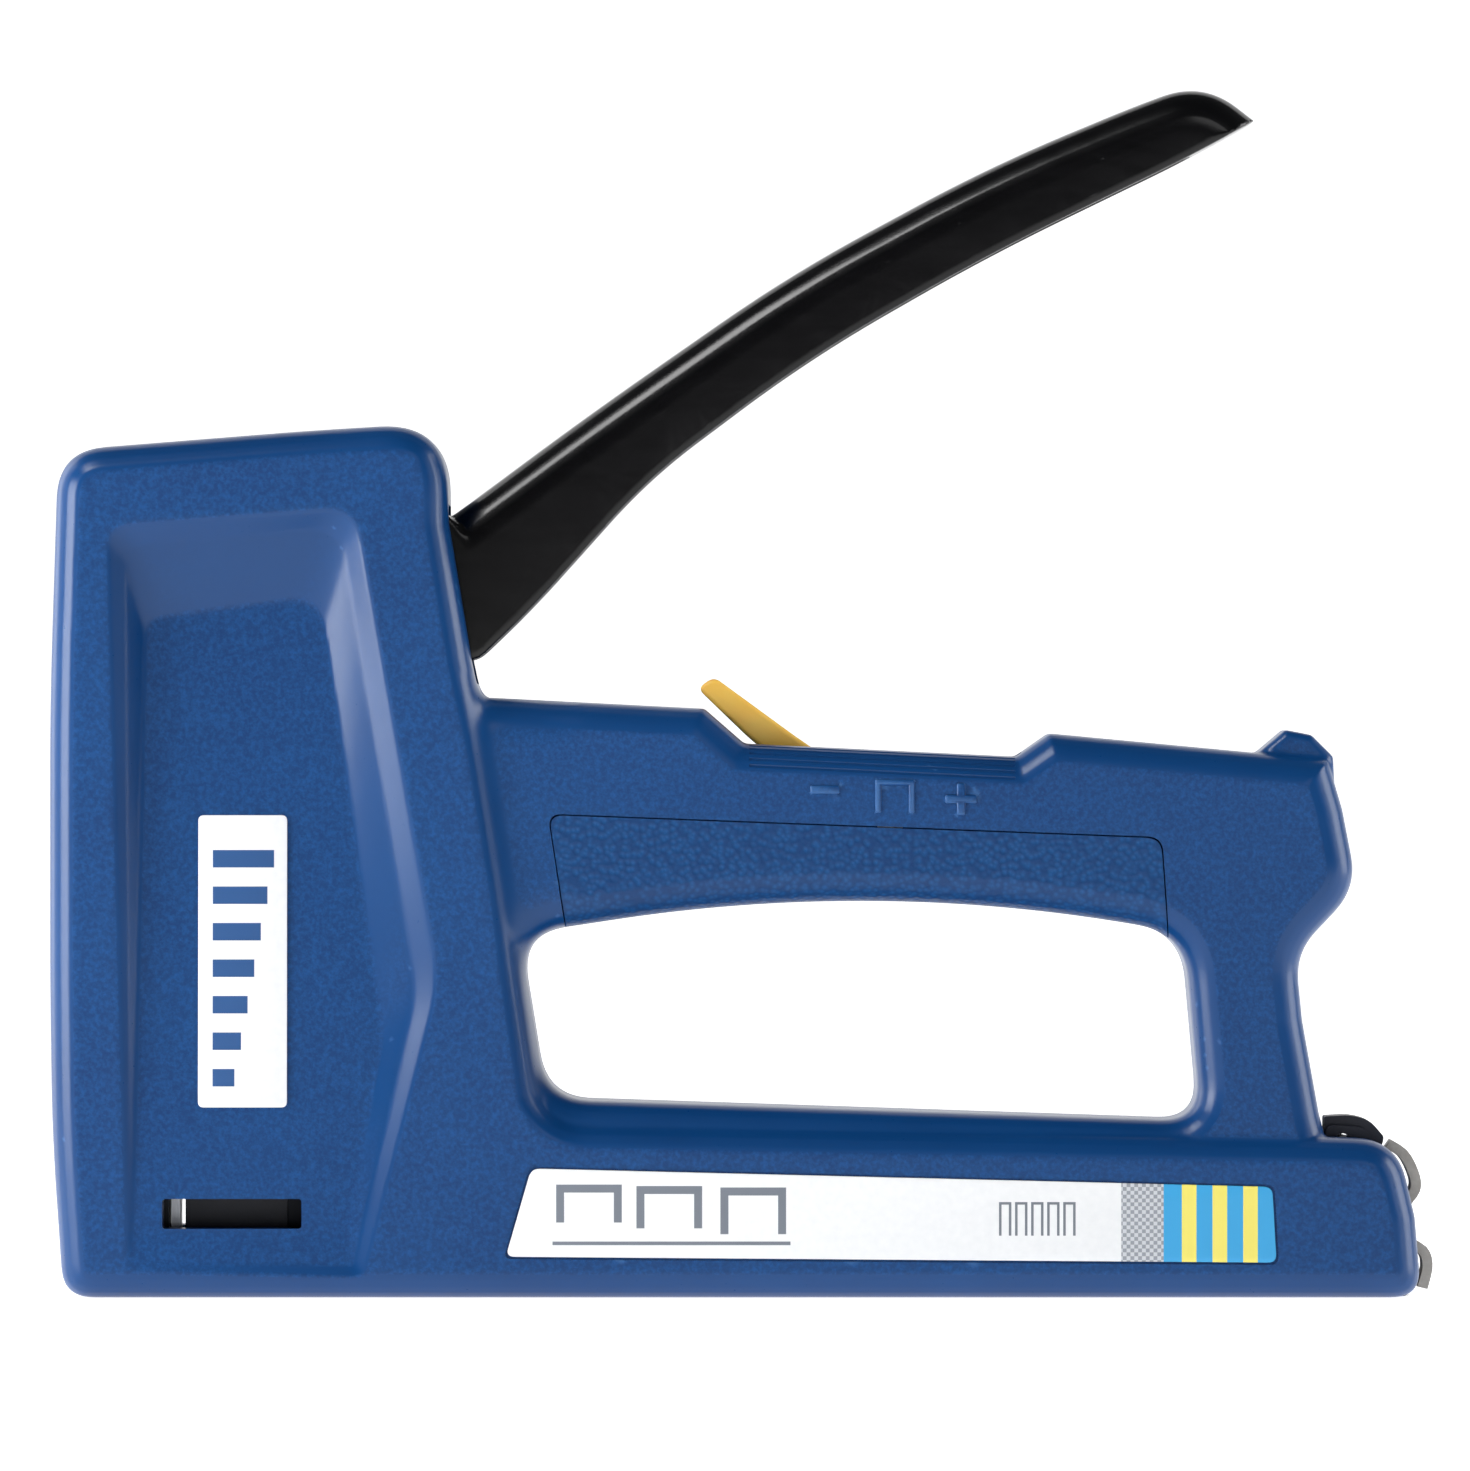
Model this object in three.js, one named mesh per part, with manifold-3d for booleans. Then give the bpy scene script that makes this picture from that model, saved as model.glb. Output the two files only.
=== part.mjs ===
// A hand staple gun with a moulded two-shell housing, a squeeze lever, a striker driven by a
// main spring in the grip, a force adjuster and a magazine rail that slides out at the back.
// Millimetres, +Z up. The nose points to -X and the base stands on Z = 0, with Y = 0 in the
// joint plane of the two shells. Outlines are lists of [x, z, cut] in the XZ plane, where cut
// is how far from the corner its rounding begins.

import * as THREE from "three";
import { mergeVertices } from "three/addons/utils/BufferGeometryUtils.js";
import { ConvexGeometry } from "three/addons/geometries/ConvexGeometry.js";
import Module from "manifold-3d";

// Driving dimensions
const GAP = 0.3; // clearance between neighbouring pieces
const HEAD_HALF = 16.5; // half width of the head and of the lower bar
const GRIP_HALF = 14; // half width of the grip and of the rear post
const EDGE = 2.5; // rounding of the housing's outer edges
const WALL = 2.6; // housing wall
const SPLIT = 0.15; // half the gap between the two shells
const REAR_END = 95;
const RECESS_DEPTH = 4.3; // depth of the head's side recess at its top
const LEVER_HALF = 9;
const LEVER_HOLLOW = 6.8; // half width of the channel under the lever
const RIVET = [-10.5, 120.8]; // the arm's cross pin
const RIVET_HALF = 7.8; // it ends in blind sockets in the lever's cheeks
const LEVER_PIVOT = [-45.6, 101];
const LEVER_TRAVEL = THREE.MathUtils.degToRad(33);
const STRIKER_X = -77.3; // rear face of the striker blade
const STRIKER_REACH = -74; // where both arms push in the striker carrier
const LEVER_REACH = LEVER_PIVOT[0] - STRIKER_REACH;
const STRIKER_LIFT = 2 * LEVER_REACH * Math.tan(LEVER_TRAVEL / 2);
const ROCKER_PIVOT = [-40, 52];
const ROCKER_TOP = 12.5; // length of the rocker's upright arm
const ROCKER_HALF = 2.8;
const PLUNGE_Z = 64.3; // axis of the main spring
const ADJUSTER_PIVOT = [20.3, 65];
const ADJUSTER_HALF = 4;
const CAM_LOW = 4.2;
const CAM_RISE = 2.6;
const CAM_ARC = 100; // degrees of cam that rise
const CHANNEL_HALF = 7; // half width of the fixed magazine channel
const RAIL_HALF = 4.6; // half width of the rail that the staples straddle
const RAIL_TOP = 14;
const MAGAZINE_FRONT = -77;
const SHEET = 1; // magazine sheet thickness
const WINDOW = { x0: -79.5, x1: -60.4, z0: 9.5, z1: 13.6 };
const LATCH_PIVOT = [82.6, 21.2];
const SCREWS = [
  [-86, 111, HEAD_HALF],
  [-87.6, 24, HEAD_HALF],
  [-43.5, 27, HEAD_HALF],
  [-27, 74.3, GRIP_HALF],
  [50, 66.5, GRIP_HALF],
  [76, 62, GRIP_HALF],
  [70.3, 27.5, GRIP_HALF],
];

const wasm = await Module();
wasm.setup();
const { Manifold, Mesh: SolidMesh } = wasm;

// Materials
const plastic = (color, roughness) => new THREE.MeshStandardMaterial({ color, roughness });
const metal = (color, roughness) => new THREE.MeshStandardMaterial({ color, roughness, metalness: 1 });
const blue = plastic(0x1f4f96, 0.45);
const grainedBlue = plastic(0x1c478a, 0.6);
const black = plastic(0x0c0d10, 0.25);
const yellow = plastic(0xf4ab33, 0.4);
const rubber = plastic(0x1b1b1d, 0.9);
const white = plastic(0xf1f3f5, 0.4);
const steel = metal(0xb9bcc0, 0.35);
const springSteel = metal(0x8f9296, 0.3);
const greySteel = metal(0x9c9a97, 0.4);

// Solids and booleans
function solid(geometry) {
  const bare = geometry.clone();
  bare.deleteAttribute("normal");
  bare.deleteAttribute("uv");
  const merged = mergeVertices(bare, 1e-4);
  const index = merged.index.array;
  const kept = [];
  for (let i = 0; i < index.length; i += 3) {
    const [a, b, c] = [index[i], index[i + 1], index[i + 2]];
    if (a !== b && b !== c && c !== a) kept.push(a, b, c);
  }
  const vertProperties = new Float32Array(merged.attributes.position.array);
  return new Manifold(new SolidMesh({ numProp: 3, vertProperties, triVerts: new Uint32Array(kept) }));
}

function surface(body) {
  const mesh = body.getMesh();
  const geometry = new THREE.BufferGeometry();
  geometry.setAttribute("position", new THREE.BufferAttribute(new Float32Array(mesh.vertProperties), 3));
  geometry.setIndex(new THREE.BufferAttribute(new Uint32Array(mesh.triVerts), 1));
  geometry.computeVertexNormals();
  return geometry;
}

const join = (...bodies) => bodies.reduce((all, body) => all.add(body));
const cut = (body, ...tools) => tools.reduce((rest, tool) => rest.subtract(tool), body);

// Shapes
function shapeOf(points) {
  const shape = new THREE.Shape();
  points.forEach(([x, z, round = 0], i) => {
    const corner = new THREE.Vector2(x, z);
    const side = (j) => {
      const other = points[(j + points.length) % points.length];
      const step = new THREE.Vector2(other[0], other[1]).sub(corner);
      return corner.clone().add(step.setLength(round));
    };
    const start = side(i - 1);
    if (i === 0) shape.moveTo(start.x, start.y);
    else shape.lineTo(start.x, start.y);
    if (round > 0) {
      const end = side(i + 1);
      shape.quadraticCurveTo(corner.x, corner.y, end.x, end.y);
    }
  });
  shape.closePath();
  return shape;
}

// An XZ shape carried from y0 to y1, with its edges rounded by edge
function extrude(shape, y0, y1, edge = 0, curveSegments = 3) {
  const geometry = new THREE.ExtrudeGeometry(shape, {
    depth: y1 - y0 - 2 * edge,
    curveSegments,
    bevelEnabled: edge > 0,
    bevelThickness: edge,
    bevelSize: edge,
    bevelOffset: -edge,
    bevelSegments: 2,
  });
  return geometry.rotateX(Math.PI / 2).translate(0, y1 - edge, 0);
}

const prism = (points, y0, y1, edge = 0) => solid(extrude(shapeOf(points), y0, y1, edge));

function block(x0, x1, y0, y1, z0, z1) {
  const geometry = new THREE.BoxGeometry(x1 - x0, y1 - y0, z1 - z0);
  return solid(geometry.translate((x0 + x1) / 2, (y0 + y1) / 2, (z0 + z1) / 2));
}

// A round bar along Y
function barY(x, z, radius, y0, y1, sides = 20) {
  const geometry = new THREE.CylinderGeometry(radius, radius, y1 - y0, sides);
  return solid(geometry.translate(x, (y0 + y1) / 2, z));
}

// A body turned about an axis along X: profile is a list of [x, radius]
function turnedX(profile, z, sides = 20) {
  const points = profile.map(([x, radius]) => new THREE.Vector2(radius, x));
  const geometry = new THREE.LatheGeometry(points, sides).rotateZ(-Math.PI / 2);
  return solid(geometry.translate(0, 0, z));
}

// A flat link between two round ends
function link([x0, z0, r0], [x1, z1, r1], half) {
  const along = Math.atan2(z1 - z0, x1 - x0);
  const spread = Math.acos((r0 - r1) / Math.hypot(x1 - x0, z1 - z0));
  const shape = new THREE.Shape();
  shape.absarc(x0, z0, r0, along + spread, along - spread + 2 * Math.PI, false);
  shape.absarc(x1, z1, r1, along - spread, along + spread, false);
  shape.closePath();
  return solid(extrude(shape, -half, half, 0, 6));
}

// A wire of round section along a smooth line of points
function wire(points, radius, steps, sides = 6) {
  const section = new THREE.Shape();
  for (let i = 0; i < sides; i += 1) {
    const angle = (2 * Math.PI * i) / sides;
    const [x, y] = [radius * Math.cos(angle), radius * Math.sin(angle)];
    if (i === 0) section.moveTo(x, y);
    else section.lineTo(x, y);
  }
  section.closePath();
  const extrudePath = new THREE.CatmullRomCurve3(points);
  return new THREE.ExtrudeGeometry(section, { extrudePath, steps, bevelEnabled: false });
}

// A coil about an axis along X or Z, from start to end
function coil(axis, start, end, centre, radius, turns, thickness, perTurn, sides) {
  const points = [];
  const count = turns * perTurn;
  for (let i = 0; i <= count; i += 1) {
    const angle = (2 * Math.PI * i) / perTurn;
    const along = start + ((end - start) * i) / count;
    const [u, v] = [radius * Math.cos(angle), radius * Math.sin(angle)];
    if (axis === "x") points.push(new THREE.Vector3(along, u, centre[1] + v));
    else points.push(new THREE.Vector3(centre[0] + u, v, along));
  }
  return wire(points, thickness / 2, count, sides);
}

const mirrored = (make) => join(make(-1), make(1));

// Housing: the outer body is worked out whole, and then split into its two shells
const headAndBar = [
  [-93.2, 0, 4],
  [-94.7, 22, 8],
  [-95, 42, 8],
  [-95, 82, 10],
  [-93.9, 116.2, 6.5],
  [-60, 118.9, 5],
  [-40.4, 120.1, 9.5],
  [-40.3, 106.4],
  [-37.1, 87.2],
  [-34.6, 76],
  [-31.4, 56],
  [-29.9, 44],
  [-27.6, 28],
  [-25.5, 24, 3],
  [79.6, 22],
  [89.8, 21.6, 4.5],
  [92.3, 11],
  [93.2, 0, 4],
];
const silhouette = [
  [-60, 3],
  [-60, 82.6],
  [-34.5, 82.3],
  [-5.2, 80.8],
  [0.3, 76, 0.8],
  [37.6, 74.2, 0.8],
  [42.2, 77.4],
  [70.8, 74.7, 0.6],
  [74.6, 77.9],
  [78.2, 77.2],
  [81.2, 74.2],
  [82.4, 67],
  [84.5, 56.2, 3],
  [76, 47.2, 4],
  [76.9, 38],
  [79.2, 25.2],
  [80.5, 20],
  [80.5, 3],
];
const fingerOpening = [
  [-30.6, 49.8, 6],
  [18, 57.2, 36],
  [60.6, 50, 5.5],
  [62.9, 24.2, 4.5],
  [-26.9, 27.2, 5],
];
const headCavity = [
  [-92, 22],
  [-92.2, 82],
  [-91.2, 113.4, 5],
  [-60, 116.2],
  [-43.2, 117.2, 7],
  [-42.9, 106.2],
  [-39.6, 87],
  [-37.2, 76],
  [-34, 56],
  [-32.6, 44],
  [-30.4, 28],
  [-30, 19],
  [-80, 19],
  [-80, 22],
];
const gripCavity = [
  [-38, 79.3],
  [-6.3, 77.8],
  [-0.8, 73.2],
  [38.6, 71.3],
  [43.2, 74.5],
  [70, 71.9],
  [79, 71.2],
  [81.6, 57.2],
  [73.4, 48.4],
  [74.2, 38],
  [76.4, 20],
  [65.8, 20],
  [63.6, 50.8, 2],
  [58.6, 53.6],
  [18, 60.2, 34],
  [-24, 53.9],
  [-38, 52],
];
const barCavity = [
  [-62, 3],
  [78, 3],
  [78, 18.6],
  [-27, 21],
  [-62, 21],
];
const leverSlot = [
  [-54, 84.2],
  [-34.5, 84.2],
  [-28, 86],
  [-28, 108.8],
  [-54, 108.8],
];
const gripPanel = [
  [-26.5, 66.2, 1.4],
  [57.4, 63, 1.4],
  [58.6, 46],
  [-23.4, 46],
];

const stripOutline = [
  [-28.9, 17.8, 0.8],
  [72.6, 15.3, 0.8],
  [73.2, 4.9, 0.8],
  [-32.4, 5.7, 0.8],
];

// The sunken side of the head: outer rim and floor, as corners of a tapered pocket
function recess(side, margin) {
  const rim = [[-87, 105.8], [-53, 108.3], [-41.3, 43.6], [-51.7, 2.2], [-84.4, 3.4]];
  const floor = [[-82, 93.2, 1], [-58, 96, 1], [-49, 35.3, 0.37], [-54, 9, 0.08], [-83.4, 9, 0.08]];
  const centre = new THREE.Vector2(-66, 55);
  const spread = ([x, z]) => {
    const out = new THREE.Vector2(x, z).sub(centre);
    return out.setLength(out.length() + margin).add(centre);
  };
  const points = [];
  for (const corner of rim) {
    const { x, y: z } = spread(corner);
    points.push(new THREE.Vector3(x, side * (HEAD_HALF + 2), z));
    points.push(new THREE.Vector3(x, side * (HEAD_HALF - 0.05), z));
  }
  for (const corner of floor) {
    const { x, y: z } = spread(corner);
    points.push(new THREE.Vector3(x, side * (HEAD_HALF - RECESS_DEPTH * corner[2] - margin), z));
  }
  return solid(new ConvexGeometry(points));
}

// The finger opening runs right through, with its edges chamfered at both faces
function fingerCutter() {
  const shape = shapeOf(fingerOpening);
  const depth = 20;
  const flare = () => new THREE.ExtrudeGeometry(shape, {
    depth,
    curveSegments: 4,
    bevelThickness: EDGE,
    bevelSize: EDGE,
    bevelSegments: 1,
  }).rotateX(Math.PI / 2);
  return join(
    prism(fingerOpening, -30, 30),
    solid(flare().translate(0, -GRIP_HALF, 0)),
    solid(flare().translate(0, GRIP_HALF + depth, 0)),
  );
}

function outerBody() {
  const slim = prism(silhouette, -GRIP_HALF, GRIP_HALF, EDGE);
  const wide = prism(headAndBar, -HEAD_HALF, HEAD_HALF, EDGE);
  return cut(join(slim, wide), fingerCutter());
}

function screwBosses() {
  return join(...SCREWS.map(([x, z]) => barY(x, z, 3.2, -HEAD_HALF, HEAD_HALF, 16)));
}

// Paired bosses that carry a pin, standing clear of what turns between them
function pinBosses([x, z], radius, inner) {
  return mirrored((side) => {
    const ends = [side * inner, side * HEAD_HALF].sort((a, b) => a - b);
    return barY(x, z, radius, ends[0], ends[1], 18);
  });
}

function guideRibs() {
  const ribs = [];
  for (let x = -50; x <= 70; x += 24) {
    for (const side of [-1, 1]) {
      const ends = [side * (CHANNEL_HALF + GAP), side * HEAD_HALF].sort((a, b) => a - b);
      ribs.push(block(x, x + 1.6, ends[0], ends[1], 2, 18.3));
    }
  }
  return join(...ribs);
}

function hollow() {
  const room = join(
    prism(headCavity, -(HEAD_HALF - WALL), HEAD_HALF - WALL),
    prism(gripCavity, -(GRIP_HALF - WALL), GRIP_HALF - WALL),
    prism(barCavity, -(HEAD_HALF - WALL), HEAD_HALF - WALL),
  );
  const bumperShelf = block(MAGAZINE_FRONT, -66, -HEAD_HALF, HEAD_HALF, 30, 33.2);
  const seatCradle = block(9.6, 12.4, -HEAD_HALF, HEAD_HALF, 52, 61.3);
  return cut(
    room,
    recess(-1, WALL),
    recess(1, WALL),
    screwBosses(),
    pinBosses(LEVER_PIVOT, 5.5, LEVER_HALF + 0.4),
    pinBosses(ROCKER_PIVOT, 4.5, ROCKER_HALF + 0.5),
    pinBosses(ADJUSTER_PIVOT, 4.2, ADJUSTER_HALF + 0.5),
    guideRibs(),
    bumperShelf,
    seatCradle,
  );
}

function openings() {
  const { x0, x1, z0, z1 } = WINDOW;
  return join(
    prism(leverSlot, -(LEVER_HALF + 1), LEVER_HALF + 1),
    block(1.5, 38.5, -(ADJUSTER_HALF + 0.5), ADJUSTER_HALF + 0.5, 69, 84), // adjuster slot
    block(MAGAZINE_FRONT - 3.5, 97, -(CHANNEL_HALF + GAP), CHANNEL_HALF + GAP, -1, 18.3),
    block(MAGAZINE_FRONT - 3.5, -70, -(CHANNEL_HALF + GAP), CHANNEL_HALF + GAP, 17, 24),
    block(79.6, 97, -CHANNEL_HALF, CHANNEL_HALF, -1, 26),
    block(74, 80.4, -5.4, 5.4, 17, 22.6), // where the latch's hook reaches in
    block(x0, x1, -HEAD_HALF - 2, HEAD_HALF + 2, z0, z1), // staple windows
  );
}

function pinHoles() {
  return join(
    barY(...LEVER_PIVOT, 3.3, -14.2, 14.2),
    barY(...ROCKER_PIVOT, 2.3, -12.2, 12.2),
    barY(...ADJUSTER_PIVOT, 2.1, -12, 12),
  );
}

function screwHoles() {
  const holes = SCREWS.map(([x, z, half]) => join(
    barY(x, z, 1.75, -half + 4, half + 1, 14),
    barY(x, z, 3.1, half - 3.2, half + 1, 16),
  ));
  return join(...holes);
}

// A four-cornered outline grown on every side
function grown(outline, by) {
  const corners = [[-by, by], [by, by], [by, -by], [-by, -by]];
  return outline.map(([x, z, round], i) => [x + corners[i][0], z + corners[i][1], round]);
}

function panelPocket(side, grow, depth) {
  const ends = [side * (GRIP_HALF - depth), side * (GRIP_HALF + 3)].sort((a, b) => a - b);
  return prism(grown(gripPanel, grow), ends[0], ends[1]);
}

const body = outerBody();
const shells = cut(
  body,
  recess(-1, 0),
  recess(1, 0),
  hollow(),
  openings(),
  pinHoles(),
  screwHoles(),
  panelPocket(-1, GAP, 1.5),
  panelPocket(1, GAP, 1.5),
  prism(grown(stripOutline, GAP), -HEAD_HALF - 1, -HEAD_HALF + 2 * GAP),
);

// Everything built below is added to the part by name
const part = new THREE.Group();
function add(name, shape, material) {
  const geometry = shape instanceof THREE.BufferGeometry ? shape : surface(shape);
  const mesh = new THREE.Mesh(geometry, material);
  mesh.name = name;
  part.add(mesh);
}

add("left_housing", shells.intersect(block(-120, 120, -40, -SPLIT, -20, 200)), blue);
add("right_housing", shells.intersect(block(-120, 120, SPLIT, 40, -20, 200)), blue);
add("left_grip_panel", body.intersect(panelPocket(-1, 0, 1.2)), grainedBlue);
add("right_grip_panel", body.intersect(panelPocket(1, 0, 1.2)), grainedBlue);

// Housing screws: a pan head in its counterbore and a shank into the left shell's boss
SCREWS.forEach(([x, z, half], i) => {
  const seat = half - 3.2 + GAP;
  const shank = barY(x, z, 1.4, -half + 5, seat + 1, 10);
  const head = barY(x, z, 2.7, seat, seat + 2, 14);
  const slot = block(x - 2, x + 2, seat + 1.2, seat + 3, z - 0.4, z + 0.4);
  const cross = block(x - 0.4, x + 0.4, seat + 1.2, seat + 3, z - 2, z + 2);
  add(`housing_screw_${i + 1}`, cut(join(shank, head), slot, cross), steel);
});

// Squeeze lever: a moulded cover, open below, over a steel arm that reaches the striker
const leverOutline = [
  [-45.6, 108.9],
  [-40.6, 106.8],
  [-20.9, 121.4, 10],
  [6.5, 140.5, 12],
  [34, 155.4, 12],
  [53.2, 163.5, 4],
  [63.2, 166.9, 6],
  [70.2, 161.2],
  [61.4, 156.6, 4],
  [34, 143.3, 12],
  [9.3, 129.1, 12],
  [-12.7, 112.6, 8],
  [-29.2, 94.2, 6],
  [-37.4, 86.4, 4],
  [-45.6, 93],
];
const leverChannel = [
  [-60, 80],
  [-60, 116],
  [-41, 116],
  [-41, 104.2],
  [-38, 104.9],
  [-20.5, 118],
  [6.8, 137],
  [34.2, 151.9],
  [52, 159.6],
  [60, 161.8],
  [62, 158],
  [62, 136],
  [0, 96],
  [-30, 80],
];
const armTail = [
  [-45.6, 104],
  [-38.3, 103.4],
  [-20.6, 117.1],
  [-3, 129.3],
  [-0.4, 125.6, 1],
  [-17, 113.4],
  [-33, 98],
  [-45.6, 96],
];
const leverBoss = barY(...LEVER_PIVOT, 8.2, -LEVER_HALF, LEVER_HALF, 28);
const leverCover = join(prism(leverOutline, -LEVER_HALF, LEVER_HALF, 2), leverBoss);
const leverBores = join(
  barY(...LEVER_PIVOT, 3.3, -LEVER_HALF - 1, LEVER_HALF + 1),
  barY(...RIVET, 1.8, -RIVET_HALF - GAP, RIVET_HALF + GAP, 14),
);
const striking = [STRIKER_REACH, LEVER_PIVOT[1] - STRIKER_LIFT / 2, 1.8];
const leverArm = join(link([...LEVER_PIVOT, 5.3], striking, 2.5), prism(armTail, -2.5, 2.5));
add("handle_lever", cut(leverCover, prism(leverChannel, -LEVER_HOLLOW, LEVER_HOLLOW), leverBores), black);
add("lever_arm", cut(leverArm, leverBores), steel);
add("lever_rivet", barY(...RIVET, 1.5, -RIVET_HALF, RIVET_HALF, 14), steel);
add("lever_pivot_pin", barY(...LEVER_PIVOT, 3, -13.9, 13.9), steel);

// Return spring of the lever: a few turns about its pin, one leg on the housing and one on the lever
function returnSpring() {
  const [cx, cz] = LEVER_PIVOT;
  const radius = 4.3;
  const [first, turns, perTurn] = [Math.PI, 2.65, 12];
  const points = [new THREE.Vector3(cx - radius, 3.5, cz - 12)];
  const count = Math.round(turns * perTurn);
  for (let i = 0; i <= count; i += 1) {
    const angle = first - (2 * Math.PI * turns * i) / count;
    const y = 3.5 + (2.5 * i) / count;
    points.push(new THREE.Vector3(cx + radius * Math.cos(angle), y, cz + radius * Math.sin(angle)));
  }
  const last = first - 2 * Math.PI * turns;
  const [dx, dz] = [Math.sin(last), -Math.cos(last)];
  const end = points[points.length - 1];
  points.push(new THREE.Vector3(end.x + 8 * dx, 6, end.z + 8 * dz));
  return wire(points, 0.55, 60);
}
add("lever_return_spring", returnSpring(), springSteel);

// Striker: a blade in front, and the carrier that both arms reach into
const rockerTip = [STRIKER_REACH, ROCKER_PIVOT[1] - STRIKER_LIFT / 2, 1.8];
const carrierWindow = ([, z], half, high) => block(-78, -72, -half, half, z - high, z + high);
const carrierWindows = join(
  carrierWindow(striking, 3, 2.8),
  carrierWindow(rockerTip, ROCKER_HALF + 0.5, 2.6),
);
const carrierFoot = rockerTip[1] - 4.6;
const carrier = block(MAGAZINE_FRONT, -73, -5, 5, carrierFoot, striking[1] + 4.2);
add("striker_blade", block(STRIKER_X - 1.2, STRIKER_X, -5.2, 5.2, 0.8, striking[1] + 4.2), steel);
add("striker_carrier", cut(carrier, carrierWindows), steel);
add("striker_bumper", block(MAGAZINE_FRONT, -67, -5, 5, 33.5, carrierFoot - GAP), rubber);
add("nose_plate", block(-80.2, -78.8, -CHANNEL_HALF, CHANNEL_HALF, 0.4, 23.6), steel);

// Rocker: carries the striker's motion to the push rod of the main spring
const rocker = join(
  link([...ROCKER_PIVOT, 4.5], rockerTip, ROCKER_HALF),
  link([...ROCKER_PIVOT, 4.5], [ROCKER_PIVOT[0], ROCKER_PIVOT[1] + ROCKER_TOP, 2.2], ROCKER_HALF),
);
add("rocker", cut(rocker, barY(...ROCKER_PIVOT, 2.3, -5, 5)), steel);
add("rocker_pin", barY(...ROCKER_PIVOT, 2, -12, 12), steel);

// Main spring between the push rod's flange and the adjustable seat
const pushRod = [
  [-37.4, 0],
  [-37.4, 1.8],
  [-36.4, 1.8],
  [-36.4, 4.8],
  [-35.2, 4.8],
  [-35.2, 2.1],
  [-8, 2.1],
  [-8, 0],
];
add("push_rod", turnedX(pushRod, PLUNGE_Z), steel);
add("main_spring", coil("x", -34, 5.5, [0, PLUNGE_Z], 4.3, 9, 1.7, 12, 6), springSteel);
const seatDisc = turnedX([[6.7, 0], [6.7, 5], [8.7, 5], [8.7, 0]], PLUNGE_Z);
const seatStem = turnedX([[8, 0], [8, 1.5], [15.5, 1.5], [15.5, 0]], 63.4, 12);
add("spring_seat", join(seatDisc, seatStem), steel);

// Force adjuster: a tab on a hub whose spiral cam pushes the spring seat
function camOutline() {
  const shape = new THREE.Shape();
  for (let degree = 0; degree < 360; degree += 10) {
    const rising = CAM_RISE * (degree / CAM_ARC);
    const falling = CAM_RISE * (1 - (degree - CAM_ARC) / (360 - CAM_ARC));
    const radius = CAM_LOW + (degree <= CAM_ARC ? rising : falling);
    const angle = THREE.MathUtils.degToRad(180 + degree);
    const x = ADJUSTER_PIVOT[0] + radius * Math.cos(angle);
    const z = ADJUSTER_PIVOT[1] + radius * Math.sin(angle);
    if (degree === 0) shape.moveTo(x, z);
    else shape.lineTo(x, z);
  }
  shape.closePath();
  return shape;
}
const tabOutline = [
  [19.4, 66],
  [20.6, 68.6],
  [8.7, 75.8],
  [-4, 85.2, 0.9],
  [-6.1, 83.6, 0.9],
  [2.1, 75.6],
  [14, 67.8],
  [16.6, 66.2],
];
const adjuster = join(
  solid(extrude(camOutline(), -ADJUSTER_HALF, ADJUSTER_HALF)),
  prism(tabOutline, -ADJUSTER_HALF, ADJUSTER_HALF),
);
add("force_adjuster", cut(adjuster, barY(...ADJUSTER_PIVOT, 2.1, -5, 5)), yellow);
add("adjuster_pin", barY(...ADJUSTER_PIVOT, 1.8, -11.7, 11.7), steel);

// Magazine: a fixed channel, and inside it the rail that the staples straddle
function foldedSheet(half, top, x0, x1) {
  const outside = block(x0, x1, -half, half, 0.6, top);
  return cut(outside, block(x0 - 1, x1 + 1, -half + SHEET, half - SHEET, -1, top - SHEET));
}
const channelWindow = block(-90, WINDOW.x1, -10, 10, WINDOW.z0, WINDOW.z1);
add("magazine_channel", cut(foldedSheet(CHANNEL_HALF, 18, MAGAZINE_FRONT, 79), channelWindow), steel);

const railSlot = block(-80, 64, -1.2, 1.2, 10, 16);
const capPin = (radius, half) => barY(75, 8, radius, -half, half, 12);
const rail = foldedSheet(RAIL_HALF, RAIL_TOP, MAGAZINE_FRONT + 0.4, 79.5);
add("magazine_rail", cut(rail, railSlot, capPin(1.5, 8)), steel);

const pusherNose = MAGAZINE_FRONT + 0.4;
const pusherSaddle = cut(
  block(pusherNose, pusherNose + 14, -5.4, 5.4, 1.6, 16.4),
  block(pusherNose - 1, pusherNose + 15, -RAIL_HALF - GAP, RAIL_HALF + GAP, 0, RAIL_TOP + GAP),
);
const pusherWeb = block(pusherNose, pusherNose + 10, -0.8, 0.8, 11, 15);
const pusherFoot = block(pusherNose, pusherNose + 10, -3.2, 3.2, 3, 12.6);
add("staple_pusher", join(pusherSaddle, pusherWeb, pusherFoot), black);
add("pusher_spring", coil("x", pusherNose + 11, 69, [0, 7.6], 2.3, 22, 0.8, 8, 4), springSteel);

// End of the magazine: cap, pull clip and the latch that holds it shut
const capOutline = [
  [79.9, 0],
  [79.9, 19.2],
  [84.4, 19.2],
  [87.6, 18.6, 1],
  [90.1, 14.5, 1],
  [90.1, 8],
  [91.6, 4.9],
  [92.9, 4.3, 0.4],
  [92.7, 2.2],
  [91.4, 0, 0.6],
];
const earOutline = [
  [80.2, 18],
  [80.2, 23.6, 1.2],
  [86, 23.2, 1.5],
  [87, 18],
];
const latchBore = barY(...LATCH_PIVOT, 1.2, -8, 8, 12);
const springWell = solid(new THREE.CylinderGeometry(1.6, 1.6, 8.5, 14)
  .rotateX(Math.PI / 2).translate(86, 0, 18.25));
const endCap = join(
  prism(capOutline, -6.4, 6.4),
  prism(earOutline, -6.4, -5.3),
  prism(earOutline, 5.3, 6.4),
  block(69.8, 80.5, -3.2, 3.2, 3.2, 12.2),
);
add("magazine_end_cap", cut(endCap, latchBore, springWell, capPin(1.5, 8)), black);
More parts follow.
